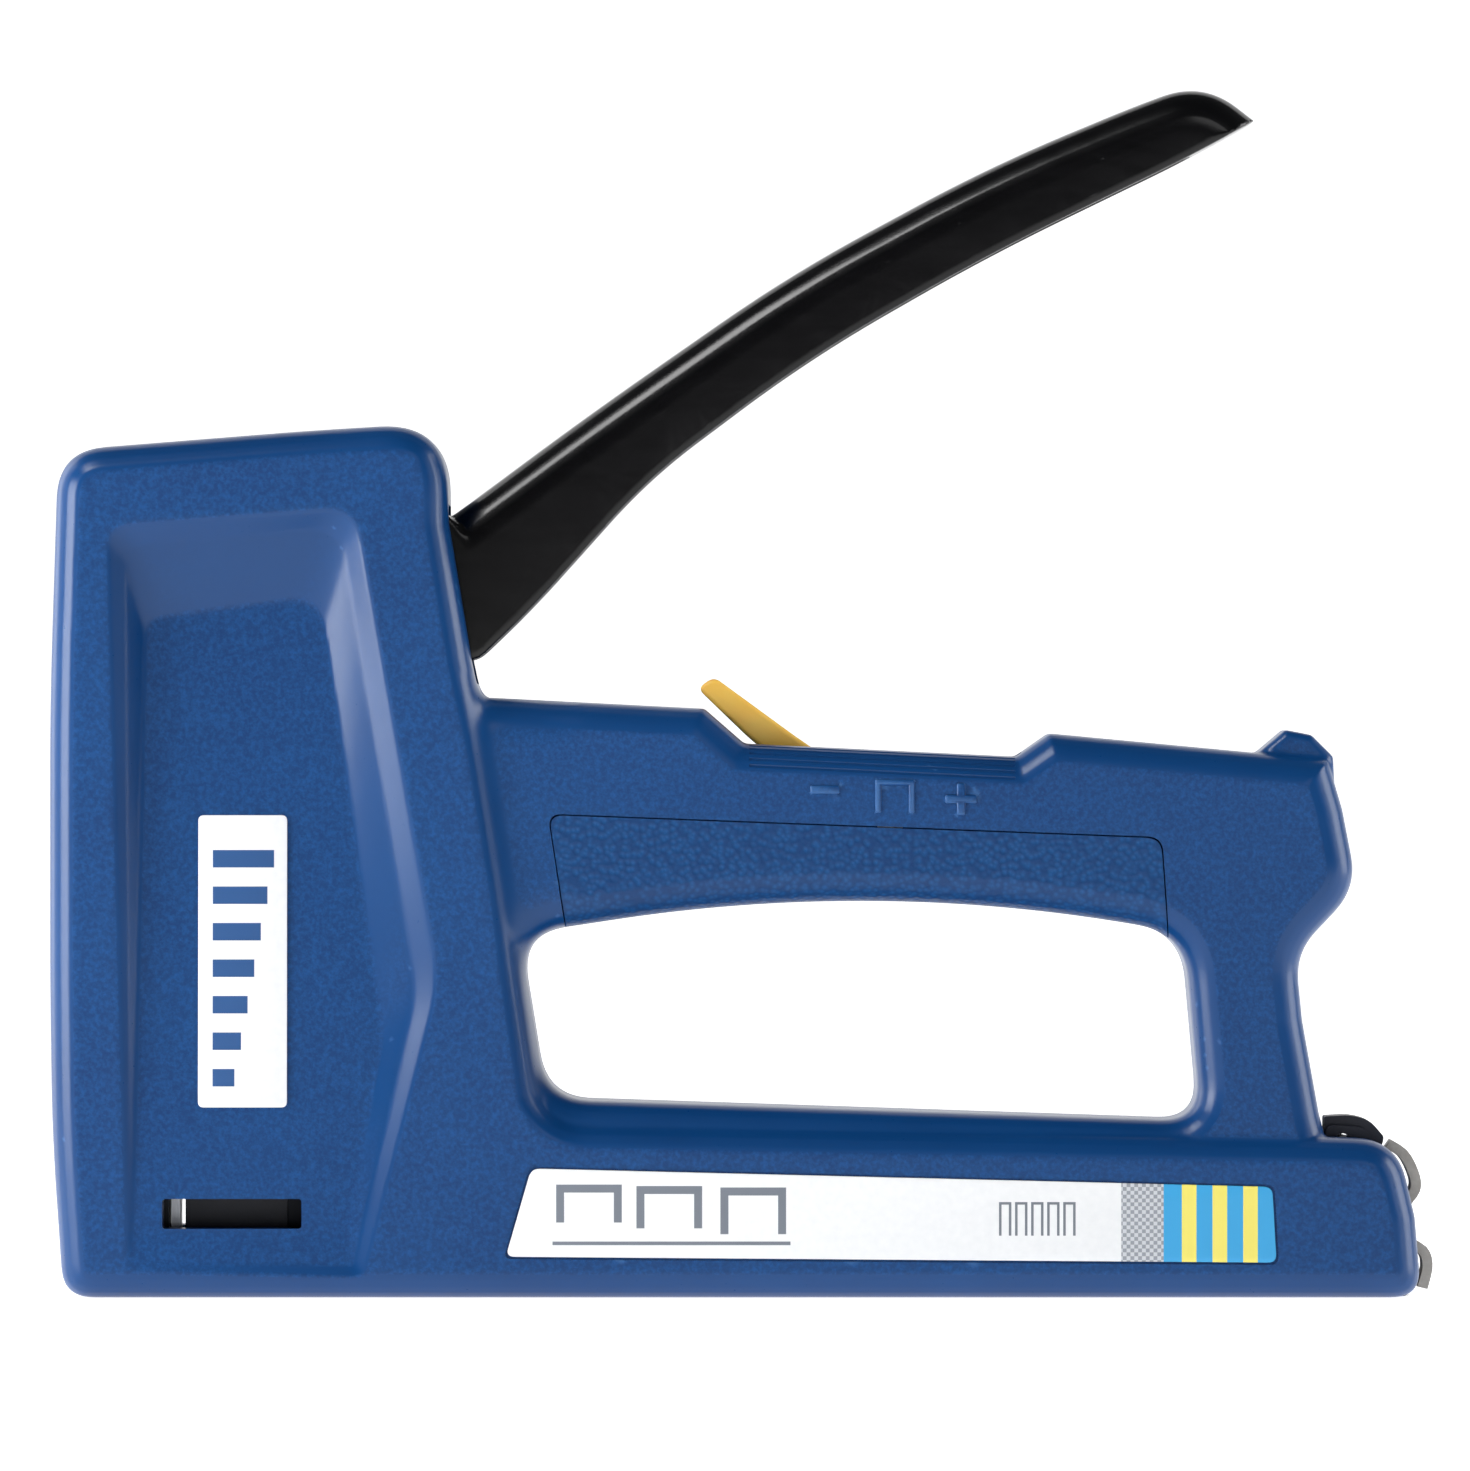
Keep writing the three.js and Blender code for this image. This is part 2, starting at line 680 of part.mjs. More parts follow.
add("end_cap_pin", capPin(1.2, 4.4), steel);

const latchOutline = [
  [76.4, 19.7],
  [84, 19.6],
  [88, 20.6, 0.4],
  [88.3, 21.9, 0.4],
  [86.4, 24.1, 1],
  [84, 24.9, 1.5],
  [80.1, 24.7, 0.3],
  [80.1, 21],
  [76.4, 21],
];
add("magazine_latch", cut(prism(latchOutline, -5, 5), latchBore, springWell), black);
add("latch_pin", barY(...LATCH_PIVOT, 0.9, -6.2, 6.2, 12), steel);
add("latch_spring", coil("z", 14.6, 21.9, [86, 0], 1, 5, 0.45, 8, 4), springSteel);

// A strip bent along a line of points
function strip(points, thickness, half, samples) {
  const line = new THREE.SplineCurve(points.map(([x, z]) => new THREE.Vector2(x, z)));
  const [outer, inner] = [[], []];
  for (let i = 0; i <= samples; i += 1) {
    const at = line.getPoint(i / samples);
    const along = line.getTangent(i / samples);
    const across = new THREE.Vector2(-along.y, along.x).multiplyScalar(thickness / 2);
    outer.push(at.clone().add(across));
    inner.unshift(at.clone().sub(across));
  }
  return solid(extrude(new THREE.Shape([...outer, ...inner]), -half, half));
}
const clipLine = [
  [88.9, 20.9],
  [91.1, 19.4],
  [92.5, 16.6],
  [92.6, 14.6],
  [91.3, 12.6],
  [91.1, 9.8],
  [92, 7.4],
  [REAR_END - 1.2, 6.1],
  [REAR_END - 0.7, 4],
  [93.6, 1.1],
];
add("pull_clip", strip(clipLine, 1.4, 5, 30), greySteel);

// Stickers: a plain strip on the bar and a plain plate in the head's recess
add("side_label", prism(stripOutline, -HEAD_HALF + 0.05, -HEAD_HALF + GAP), white);

const floorSlope = Math.atan(RECESS_DEPTH * 0.92 / 86);
const plate = new THREE.BoxGeometry(12.2, 0.3, 40).rotateX(-floorSlope).translate(-68.5, -14.95, 46.1);
add("head_label", plate, white);

export default part;
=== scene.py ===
import math

import bmesh
import bpy
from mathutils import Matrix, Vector


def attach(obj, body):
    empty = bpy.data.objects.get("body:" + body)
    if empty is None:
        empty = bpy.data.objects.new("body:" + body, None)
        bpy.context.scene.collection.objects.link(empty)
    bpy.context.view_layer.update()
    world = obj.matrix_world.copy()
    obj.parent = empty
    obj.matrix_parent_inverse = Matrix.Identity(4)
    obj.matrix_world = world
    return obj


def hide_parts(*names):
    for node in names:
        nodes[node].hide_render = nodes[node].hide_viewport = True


# A hand staple gun: a blue two-shell housing, a black squeeze lever, a yellow force adjuster
# and a magazine that slides out at the back. The nose points to -X and the side that shows
# faces -Y. Sizes are in millimetres, and MM brings them to metres.
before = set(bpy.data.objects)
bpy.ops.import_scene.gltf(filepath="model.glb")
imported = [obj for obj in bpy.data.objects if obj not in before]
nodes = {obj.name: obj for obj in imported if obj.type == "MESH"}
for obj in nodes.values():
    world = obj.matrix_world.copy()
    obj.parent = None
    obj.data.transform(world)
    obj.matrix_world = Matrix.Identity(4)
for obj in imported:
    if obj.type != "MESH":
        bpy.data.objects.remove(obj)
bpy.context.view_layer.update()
MM = 0.001


# STUDIO: a pale sheet that runs along the floor and curves up behind the tool, with soft
# lights at its sides and rear, and weaker ones in front and above. The camera looks straight
# at the side through a long lens.
def alone(piece):
    """Makes piece the only one selected, so that an operator acts on it alone"""
    bpy.ops.object.select_all(action="DESELECT")
    piece.select_set(True)
    bpy.context.view_layer.objects.active = piece


def pick(kind, wanted):
    """In edit mode, selects only the verts, edges or faces whose middle, in mm, is wanted"""
    bpy.ops.mesh.select_mode(type={"verts": "VERT", "edges": "EDGE", "faces": "FACE"}[kind])
    bpy.ops.mesh.select_all(action="DESELECT")
    mesh = bmesh.from_edit_mesh(bpy.context.object.data)
    for part in getattr(mesh, kind):
        corners = [part.co] if kind == "verts" else [vert.co for vert in part.verts]
        middle = sum(corners, Vector()) / len(corners) / MM
        if wanted(middle):
            part.select_set(True)
    mesh.select_flush_mode()
    bmesh.update_edit_mesh(bpy.context.object.data)


class Shade:
    """A value in a material: its operators add Math nodes, and node adds any other node"""

    def __init__(self, tree, socket):
        self.tree = tree
        self.socket = socket

    def node(self, kind, settings, values, output=0):
        made = self.tree.nodes.new(kind)
        for name, value in settings.items():
            setattr(made, name, value)
        for name, value in values.items():
            if isinstance(value, Shade):
                self.tree.links.new(value.socket, made.inputs[name])
            else:
                made.inputs[name].default_value = value
        return Shade(self.tree, made.outputs[output])

    def math(self, operation, *values):
        return self.node("ShaderNodeMath", {"operation": operation}, dict(enumerate(values)))

    def __add__(self, other):
        return self.math("ADD", self, other)

    def __radd__(self, other):
        return self.math("ADD", other, self)

    def __sub__(self, other):
        return self.math("SUBTRACT", self, other)

    def __rsub__(self, other):
        return self.math("SUBTRACT", other, self)

    def __mul__(self, other):
        return self.math("MULTIPLY", self, other)

    def __rmul__(self, other):
        return self.math("MULTIPLY", other, self)

    def __gt__(self, other):
        return self.math("GREATER_THAN", self, other)

    def __lt__(self, other):
        return self.math("LESS_THAN", self, other)

    def size(self):
        return self.math("ABSOLUTE", self)

    def axis(self, index):
        """One of a vector's three numbers"""
        return self.node("ShaderNodeSeparateXYZ", {}, {"Vector": self}, index)

    def clip(self):
        return self.node("ShaderNodeClamp", {}, {"Value": self})

    def soft(self, low, high):
        """0 below low, 1 above high, and smooth between"""
        return self.node("ShaderNodeMapRange", {"interpolation_type": "SMOOTHSTEP"},
                         {"Value": self, "From Min": low, "From Max": high})

    def noise(self, scale, detail=2, roughness=0.5, stretch=(1, 1, 1)):
        place = self.node("ShaderNodeMapping", {}, {"Vector": self, "Scale": stretch})
        return self.node("ShaderNodeTexNoise", {}, {
            "Vector": place, "Scale": scale, "Detail": detail, "Roughness": roughness})

    def cells(self, scale):
        return self.node("ShaderNodeTexVoronoi", {"feature": "SMOOTH_F1"},
                         {"Vector": self, "Scale": scale, "Smoothness": 0.6})

    def blend(self, first, second):
        """From the colour first, where self is 0, to second, where it is 1"""
        return self.node("ShaderNodeMix", {"data_type": "RGBA"}, {0: self, 6: first, 7: second}, 2)

    def bump(self, strength, depth):
        return self.node("ShaderNodeBump", {},
                         {"Height": self, "Strength": strength, "Distance": depth * MM})


def rgb(red, green, blue):
    """A colour given as 0 to 255 on a screen, as the shader's linear light"""
    linear = [c / 255 / 12.92 if c < 10 else ((c / 255 + 0.055) / 1.055) ** 2.4
              for c in (red, green, blue)]
    return (*linear, 1)


def finish(name, constants):
    """A new material with constant values on its shader, its Object coordinates and its shader"""
    material = bpy.data.materials.new(name)
    material.use_nodes = True
    tree = material.node_tree
    shader = tree.nodes["Principled BSDF"]
    for key, value in constants.items():
        shader.inputs[key].default_value = value
    coordinates = tree.nodes.new("ShaderNodeTexCoord")
    place = Shade(tree, coordinates.outputs["Object"])
    facing = Shade(tree, coordinates.outputs["Normal"])
    return material, place, facing, shader


def feed(shader, **values):
    """Links values to the shader's sockets, whose spaces are written here as underscores"""
    for name, value in values.items():
        value.tree.links.new(value.socket, shader.inputs[name.replace("_", " ")])


FLOOR_SIZE, WALL_HEIGHT = 6, 3.5
bpy.ops.object.select_all(action="DESELECT")
bpy.ops.mesh.primitive_plane_add(size=FLOOR_SIZE)
floor = bpy.context.object
floor.name = "studio_floor"
rear_edge = FLOOR_SIZE / 2 / MM - 10
bpy.ops.object.mode_set(mode="EDIT")
pick("edges", lambda middle: middle.y > rear_edge)
bpy.ops.mesh.extrude_region_move(TRANSFORM_OT_translate={"value": (0, 0, WALL_HEIGHT)})
pick("edges", lambda middle: middle.y > rear_edge and middle.z < 10)
bpy.ops.mesh.bevel(offset=1.2, segments=16)
bpy.ops.object.mode_set(mode="OBJECT")
bpy.ops.object.shade_smooth()
paper, place, facing, shader = finish("studio_paper", {
    "Roughness": 0.9, "Emission Color": (1, 1, 1, 1), "Emission Strength": 0.8})
mottle = place.noise(3, 3)
feed(shader, Base_Color=mottle.blend((0.88, 0.885, 0.89, 1), (0.92, 0.92, 0.92, 1)))
floor.data.materials.append(paper)

world = bpy.data.worlds.new("studio_world")
world.use_nodes = True
world.node_tree.nodes["Background"].inputs["Color"].default_value = (0.93, 0.96, 1, 1)
world.node_tree.nodes["Background"].inputs["Strength"].default_value = 0.08
bpy.context.scene.world = world

# Each light's place, its width and height in metres, and its power in watts
TARGET = Vector((-1.0 * MM, 0, 77.1 * MM))
for name, place, size, power in (
    ("left_softbox", (-0.62, -0.2, 0.05), (0.28, 0.5), 5.5),
    ("right_softbox", (1.0, 0.1, 0.25), (0.5, 1.0), 9),
    ("rear_softbox", (-0.8, 0.5, 0.4), (0.5, 0.9), 4),
    ("front_softbox", (0.5, -1.6, 0.9), (0.8, 0.5), 2),
    ("top_softbox", (-0.5, -0.42, 0.9), (0.35, 0.25), 4),
):
    bpy.ops.object.light_add(type="AREA", location=place)
    light = bpy.context.object
    light.name = name
    light.data.shape = "RECTANGLE"
    light.data.size, light.data.size_y = size
    light.data.energy = power
    light.rotation_euler = (TARGET - light.location).to_track_quat("-Z", "Y").to_euler()

DISTANCE = 2.5
VIEW_WIDTH = 201.66 * MM
SENSOR = 36
NEAR_SIDE = 14 * MM
bpy.ops.object.camera_add(location=(TARGET.x, -DISTANCE, TARGET.z),
                          rotation=(math.radians(90), 0, 0))
camera = bpy.context.object
camera.name = "side_camera"
camera.data.sensor_width = SENSOR
camera.data.lens = SENSOR * (DISTANCE - NEAR_SIDE) / VIEW_WIDTH
camera.data.clip_end = 50
bpy.context.scene.camera = camera
bpy.context.scene.view_settings.view_transform = "Standard"


# HOUSING: two injection-moulded shells of fine-grained blue plastic that meet in the middle
# and are held by seven screws. Each shell has a wide head and lower bar, a slimmer grip and
# rear post, a sunken panel on the head and a sill for the force adjuster.
HEAD_HALF = 16.5
GRIP_HALF = 14
SEAM = 0.12
HEAD_AND_BAR = (
    (-93.2, 0, 4), (-94.7, 22, 8), (-95, 42, 8), (-95, 82, 10), (-93.9, 116.2, 6.5),
    (-60, 118.9, 5), (-40.4, 120.1, 9.5), (-40.3, 106.4), (-37.1, 87.2), (-34.6, 76),
    (-31.4, 56), (-29.9, 44), (-27.6, 28), (-25.5, 24, 4), (79.6, 22), (89.8, 21.6, 5.5),
    (92.3, 11), (93.2, 0, 4),
)
GRIP_AND_POST = (
    (-60, 3), (-60, 82.6), (-34.5, 82.3), (-5.2, 80.8), (0.3, 76), (37.6, 74.2),
    (42.2, 77.4), (70.8, 74.7), (80.4, 73.8), (82.4, 67), (84.5, 56.2, 4.5),
    (76, 47.2, 4), (76.9, 38), (79.2, 25.2), (80.5, 20), (80.5, 3),
)
FINGER_OPENING = (
    (-30.6, 49.8, 6.5), (18, 57.2, 36), (60.6, 50, 6.5), (62.9, 24.2, 5.5), (-26.9, 27.2, 6),
)
HUMP = ((69, 66), (70.8, 74.7), (74.6, 77.9), (78.2, 77.2), (81.2, 74.2), (81.6, 66))

# The sunken panel is three rings, each lower than the last. STEP_DEPTH and FLOOR_DEPTH are a
# ring's depth at its low left corner, and how much it gains along Z and along X.
PANEL_LEFT, PANEL_LOW = -84, 4
RIM = ((-87, 105.8, 3), (-53, 108.3, 4.5), (-41.3, 43.6, 5), (-51.7, 2.2, 1), (-84.4, 3.4, 1))
STEP = ((-84.6, 103), (-55.2, 105.6), (-44.6, 41.6), (-53.4, 4.4), (-84, 5))
PANEL_FLOOR = ((-82, 93.2), (-58, 96), (-49, 35.3), (-54.6, 9), (-83.4, 9))
STEP_DEPTH = (0.1, 0.017, 0.022)
FLOOR_DEPTH = (0.3, 0.048, 0.02)


def rounded(corners):
    """The points of an outline of (x, z, cut) corners, where cut is where a rounding begins"""
    points = []
    for i, corner in enumerate(corners):
        here = Vector(corner[:2])
        cut = corner[2] if len(corner) == 3 else 0
        if not cut:
            points.append(here)
            continue
        nexts = [Vector(corners[(i + j) % len(corners)][:2]) for j in (-1, 1)]
        before, after = [here + (there - here).normalized() * cut for there in nexts]
        count = max(6, int(cut * 1.6))
        for k in range(count + 1):
            t = k / count
            points.append(before * (1 - t) ** 2 + here * 2 * t * (1 - t) + after * t ** 2)
    return points


def modify(piece, kind, **settings):
    """Adds a modifier to piece and applies it"""
    alone(piece)
    modifier = piece.modifiers.new(kind.lower(), kind)
    for name, value in settings.items():
        setattr(modifier, name, value)
    bpy.ops.object.modifier_apply(modifier=modifier.name)


def tidy(piece):
    """Merges a new mesh's doubled points and turns its faces outwards"""
    alone(piece)
    bpy.ops.object.mode_set(mode="EDIT")
    bpy.ops.mesh.select_all(action="SELECT")
    bpy.ops.mesh.remove_doubles(threshold=1e-6)
    bpy.ops.mesh.normals_make_consistent(inside=False)
    bpy.ops.object.mode_set(mode="OBJECT")


def prism(name, outline, low, high, edge=0, holes=(), steps=3):
    """An outline in the XZ plane carried from Y = low to high, with its edges rounded by edge"""
    curve = bpy.data.curves.new(name, "CURVE")
    curve.dimensions = "2D"
    curve.fill_mode = "BOTH"
    for corners in (outline, *holes):
        points = rounded(corners)
        spline = curve.splines.new("POLY")
        spline.points.add(len(points) - 1)
        for place, point in zip(spline.points, points):
            place.co = (point.x * MM, point.y * MM, 0, 1)
        spline.use_cyclic_u = True
    curve.extrude = ((high - low) / 2 - edge) * MM
    curve.bevel_depth = edge * MM
    curve.bevel_resolution = steps
    curve.offset = -edge * MM
    piece = bpy.data.objects.new(name, curve)
    bpy.context.scene.collection.objects.link(piece)
    piece.location.y = (high + low) / 2 * MM
    piece.rotation_euler.x = math.radians(90)
    alone(piece)
    bpy.ops.object.convert(target="MESH")
    bpy.ops.object.transform_apply(location=True, rotation=True, scale=True)
    tidy(piece)
    return piece


def block(name, x0, x1, y0, y1, z0, z1):
    """A box between two corners, for cutting"""
    bpy.ops.object.select_all(action="DESELECT")
    middle = Vector((x0 + x1, y0 + y1, z0 + z1)) / 2 * MM
    bpy.ops.mesh.primitive_cube_add(size=MM, location=middle)
    piece = bpy.context.object
    piece.name = name
    piece.scale = (x1 - x0, y1 - y0, z1 - z0)
    bpy.ops.object.transform_apply(location=True, rotation=True, scale=True)
    return piece


def bar(name, x, z, radius, y0, y1, sides=32):
    """A round bar along Y"""
    bpy.ops.object.select_all(action="DESELECT")
    bpy.ops.mesh.primitive_cylinder_add(vertices=sides, radius=radius * MM, depth=(y1 - y0) * MM,
                                        location=(x * MM, (y0 + y1) / 2 * MM, z * MM),
                                        rotation=(math.radians(90), 0, 0))
    piece = bpy.context.object
    piece.name = name
    bpy.ops.object.transform_apply(location=True, rotation=True, scale=True)
    return piece


def combine(piece, operation, tools, solver="MANIFOLD"):
    """Cuts, joins or trims piece with each tool in turn, and removes the tools"""
    for tool in tools:
        modify(piece, "BOOLEAN", operation=operation, object=tool, solver=solver)
        bpy.data.objects.remove(tool)


def duplicate(piece, name):
    """A copy of piece with its own mesh"""
    copy = piece.copy()
    copy.data = piece.data.copy()
    copy.name = name
    bpy.context.scene.collection.objects.link(copy)
    return copy


def sunken_panel():
    """The tapered hollow in the head's side: a sloping rim, a step, and a floor that runs out below"""
    proud = 0.05
    pocket = prism("sunken_panel", RIM, -HEAD_HALF - 4, -HEAD_HALF - proud)
    alone(pocket)
    bpy.ops.object.mode_set(mode="EDIT")
    pick("faces", lambda middle: middle.y > -HEAD_HALF - proud - 0.01)
    for ring, depths, last in ((STEP, STEP_DEPTH, RIM), (PANEL_FLOOR, FLOOR_DEPTH, STEP)):
        bpy.ops.mesh.extrude_region_move()
        mesh = bmesh.from_edit_mesh(pocket.data)
        for vert in [v for v in mesh.verts if v.select]:
            here = Vector((vert.co.x, vert.co.z)) / MM
            nearest = min(range(len(last)), key=lambda i: (Vector(last[i][:2]) - here).length)
            there = here + Vector(ring[nearest][:2]) - Vector(last[nearest][:2])
            depth = depths[0] + depths[1] * (there.y - PANEL_LOW) + depths[2] * (there.x - PANEL_LEFT)
            vert.co = Vector((there.x, -HEAD_HALF + depth, there.y)) * MM
        bmesh.update_edit_mesh(pocket.data)
    bpy.ops.mesh.select_all(action="SELECT")
    bpy.ops.mesh.subdivide(number_cuts=6)
    bpy.ops.object.mode_set(mode="OBJECT")
    tidy(pocket)
    return pocket


def crowned(name, outline, half, radius, inset, holes=()):
    """A prism whose rounded edges stop short of its flat sides, inset from its outline, at a crease"""
    beyond = half + radius - math.sqrt(radius ** 2 - (radius - inset) ** 2)
    piece = prism(name, outline, -beyond, beyond, radius, holes, 5)
    alone(piece)
    bpy.ops.object.mode_set(mode="EDIT")
    for side in (-1, 1):
        bpy.ops.mesh.select_all(action="SELECT")
        bpy.ops.mesh.bisect(plane_co=(0, side * half * MM, 0), plane_no=(0, side, 0),
                            clear_outer=True, use_fill=True)
    bpy.ops.object.mode_set(mode="OBJECT")
    tidy(piece)
    return piece


GRIP_ROUNDING = 5
skin = crowned("housing_skin", HEAD_AND_BAR, HEAD_HALF, 5.2, 3.2)
grip = crowned("grip_and_post", GRIP_AND_POST, GRIP_HALF, GRIP_ROUNDING, 3.4, [FINGER_OPENING])
hump = prism("rear_hump", HUMP, -9.5, 9.5, 1.4)
opening = prism("finger_opening", FINGER_OPENING, -30, 30)
combine(skin, "UNION", [grip, hump])
modify(skin, "TRIANGULATE")
combine(skin, "DIFFERENCE", [
    opening, sunken_panel(), block("far_half", -120, 120, 1, 40, -10, 200)])
modify(skin, "REMESH", mode="VOXEL", voxel_size=0.36 * MM)
modify(skin, "SMOOTH", factor=0.5, iterations=3)

# The grip runs into the head in a soft hollow fillet
CREASE = ((-43.3, 108.7), (-40.2, 90.6), (-36.7, 70), (-33.3, 49), (-29.6, 26.4))
fillet = skin.vertex_groups.new(name="fillet")
for vert in skin.data.vertices:
    x, y, z = vert.co / MM
    if not (-46 < x < -20 and 26 < z < 86 and -16.2 < y < -9):
        continue
    above, below = next(pair for pair in zip(CREASE, CREASE[1:]) if z >= pair[1][1] - 1)
    crease = above[0] + (below[0] - above[0]) * (above[1] - z) / (above[1] - below[1])
    weight = min(1, max(0, (x - crease - 0.6) / 2)) * min(1, max(0, (-22 - x) / 4))
    weight *= min(1, (z - 26) / 4)
    if weight > 0:
        fillet.add([vert.index], weight, "REPLACE")
modify(skin, "SMOOTH", factor=0.5, iterations=240, vertex_group="fillet")
modify(skin, "DECIMATE", ratio=0.4)

# Grooves of the adjuster's sill run along its rounded shoulder, which falls to the rear
GROOVES = 5
GROOVE = 0.26
SILL_MIDDLE, SILL_LENGTH, SILL_TOP, SILL_FALL = 19.2, 36.5, 75.1, 2.76
for i in range(GROOVES):
    angle = math.radians(24 + 12 * i)
    y = -GRIP_HALF - GROOVE + GRIP_ROUNDING * (1 - math.cos(angle))
    z = SILL_TOP - GRIP_ROUNDING * (1 - math.sin(angle))
    bpy.ops.object.select_all(action="DESELECT")
    bpy.ops.mesh.primitive_cylinder_add(vertices=8, radius=GROOVE * MM, depth=SILL_LENGTH * MM,
                                        location=(SILL_MIDDLE * MM, y * MM, z * MM),
                                        rotation=(0, math.radians(90 + SILL_FALL), 0))
    groove = bpy.context.object
    bpy.ops.object.transform_apply(location=True, rotation=True, scale=True)
    combine(skin, "DIFFERENCE", [groove])

blue, place, facing, shader = finish("housing_blue", {"IOR": 1.5, "Specular IOR Level": 0.34})
grain = place.cells(2600)
fleck = place.noise(1500, 3, 0.7)
cloud = place.noise(45, 4)
# The flecks lift the blue only on faces that look straight out to the sides. These are painted glints on
# the grain, and they leave the sloping faces darker as painted shade.
flat = facing.axis(1).size().soft(0.955, 0.99)
# Pointiness lightens the convex edges towards a pale blue. This is partly edge wear and partly a painted
# highlight along the rounded edges.
wear_and_sheen = place.node("ShaderNodeNewGeometry", {}, {}, 7).soft(0.55, 0.7)
tone = (flat * (fleck.soft(0.35, 0.75) * 0.7 - 0.2) + cloud * 0.4 + 0.1).clip()
plastic = tone.blend(rgb(3, 52, 104), rgb(14, 80, 142))
feed(shader, Base_Color=(wear_and_sheen * 0.3).blend(plastic, rgb(80, 130, 188)),
     Roughness=0.24 + flat * 0.16 + fleck * 0.12,
     Normal=((grain * 0.7 + fleck * 0.5) * (0.15 + flat * 0.85)).bump(0.4, 0.06))

# The inside of a shell, and the ways out of it for the lever, the adjuster and the magazine
HEAD_ROOM = (
    (-92, 22), (-92, 113.4, 4), (-60, 116.6), (-43.6, 117.2, 6), (-43, 106.2), (-39.6, 87),
    (-37.2, 76), (-34, 56), (-32.6, 44), (-30.4, 28), (-30, 19), (-80, 19), (-80, 22),
)
GRIP_ROOM = (
    (-38, 79), (-6.3, 77), (-0.8, 73), (38.6, 71), (43.2, 73.8), (70, 71), (79, 70.5),
    (81, 57.2), (73, 48.4), (74, 38), (76, 20), (66, 20), (64, 50.8), (58.6, 54),
    (18, 60.2, 34), (-24, 54.4), (-38, 53),
)
LEVER_SLOT = ((-54, 84.2), (-34.5, 84.2), (-28, 86), (-28, 108.8), (-54, 108.8))
STAPLE_WINDOW = ((-79.5, 13.6, 0.5), (-60.4, 13.6, 0.5), (-60.4, 9.5, 0.5), (-79.5, 9.5, 0.5))
SCREWS = (
    (-86, 111, HEAD_HALF), (-87.6, 24, HEAD_HALF), (-43.5, 27, HEAD_HALF), (-27, 74.3, GRIP_HALF),
    (50, 66.5, GRIP_HALF), (76, 62, GRIP_HALF), (70.3, 27.5, GRIP_HALF),
)
PANEL_GROOVE = 0.18
GRIP_PANEL = ((-26.5, 66.2, 2), (57.4, 63, 2), (58.6, 46), (-23.4, 46))
LABEL = ((-28.9, 17.8, 1.2), (72.6, 15.3, 1.2), (73.2, 4.9, 1.2), (-32.4, 5.7, 1.2))


def grown(corners, by):
    """A four-cornered outline grown on every side"""
    ways = ((-1, 1), (1, 1), (1, -1), (-1, -1))
    return [(corner[0] + by * way[0], corner[1] + by * way[1], *corner[2:])
            for corner, way in zip(corners, ways)]


def hollowed(shell, side):
    """Cuts one shell back to the seam and opens its inside"""
    combine(shell, "DIFFERENCE", [
        block("other_side", -120, 120, *sorted((-side * SEAM, -side * 60)), -20, 200),
        prism("head_room", HEAD_ROOM, -10.2, 10.2),
        prism("grip_room", GRIP_ROOM, -9.4, 9.4),
        block("bar_room", -62, 78, -13.9, 13.9, 3, 18.6),
        prism("lever_slot", LEVER_SLOT, -10, 10, 0.6),
        block("adjuster_slot", 1.5, 38.5, -4.5, 4.5, 60, 84),
        block("channel_room", -80.5, 97, -7.3, 7.3, -1, 18.3),
        block("nose_room", -80.5, -70, -7.3, 7.3, 17, 24),
        block("latch_room", 79.6, 97, -7, 7, -1, 26),
        block("hook_room", 74, 80.4, -5.4, 5.4, 17, 22.6),
        prism("staple_window", STAPLE_WINDOW, -20, 20),
    ])


def in_one_finish(piece, material, angle=38):
    """Gives the whole of a finished mesh one material and smooth shading up to an angle"""
    piece.data.materials.clear()
    piece.data.materials.append(material)
    piece.data.polygons.foreach_set("material_index", [0] * len(piece.data.polygons))
    alone(piece)
    bpy.ops.object.shade_smooth_by_angle(angle=math.radians(angle))


def grip_cut(piece, side, operation, by, depth):
    """Cuts piece with the outline of the grip panel, or trims it to that outline"""
    low, high = sorted((side * (GRIP_HALF - depth), side * (GRIP_HALF + 4)))
    combine(piece, operation, [prism("panel_cutter", grown(GRIP_PANEL, by), low, high)])


shells, panels = {}, {}
for name, side in (("left", -1), ("right", 1)):
    shell = duplicate(skin, name + "_shell")
    if side > 0:
        alone(shell)
        bpy.ops.object.mode_set(mode="EDIT")
        bpy.ops.mesh.select_all(action="SELECT")
        bpy.ops.transform.resize(value=(1, -1, 1), center_override=(0, 0, 0))
        bpy.ops.mesh.flip_normals()
        bpy.ops.object.mode_set(mode="OBJECT")
    panel = duplicate(shell, name + "_grip_cover")
    grip_cut(panel, side, "INTERSECT", 0, 4)
    grip_cut(shell, side, "DIFFERENCE", PANEL_GROOVE, 4.3)
    hollowed(shell, side)
    shells[name], panels[name] = shell, panel
    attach(shell, "housing")
    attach(panel, "housing")
    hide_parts(name + "_housing")
    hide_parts(name + "_grip_panel")
bpy.data.objects.remove(skin)
combine(shells["left"], "DIFFERENCE", [
    prism("label_pocket", grown(LABEL, 0.3), -HEAD_HALF - 1, -HEAD_HALF + 0.35)])
combine(shells["right"], "DIFFERENCE", [
    bar("screw_well", x, z, 3.1, half - 3.2, half + 1) for x, z, half in SCREWS])
in_one_finish(shells["right"], blue)


# GRIP COVERS: two inlays of the same blue with a much coarser leather-like grain, set flush
# into the grip where the fingers close.
coarse, place, facing, shader = finish("grip_blue", {"IOR": 1.5, "Specular IOR Level": 0.3})
pebble = place.cells(1300)
fleck = place.noise(1800, 3, 0.7)
cloud = place.noise(60, 3)
tone = ((1 - pebble).soft(0.3, 0.9) * 0.5 + fleck * 0.35 + cloud * 0.2 - 0.1).clip()
feed(shader, Base_Color=tone.blend(rgb(3, 48, 98), rgb(18, 82, 140)), Roughness=0.36 + fleck * 0.15,
     Normal=(pebble + fleck * 0.3).bump(0.7, 0.12))
for panel in panels.values():
    in_one_finish(panel, coarse)


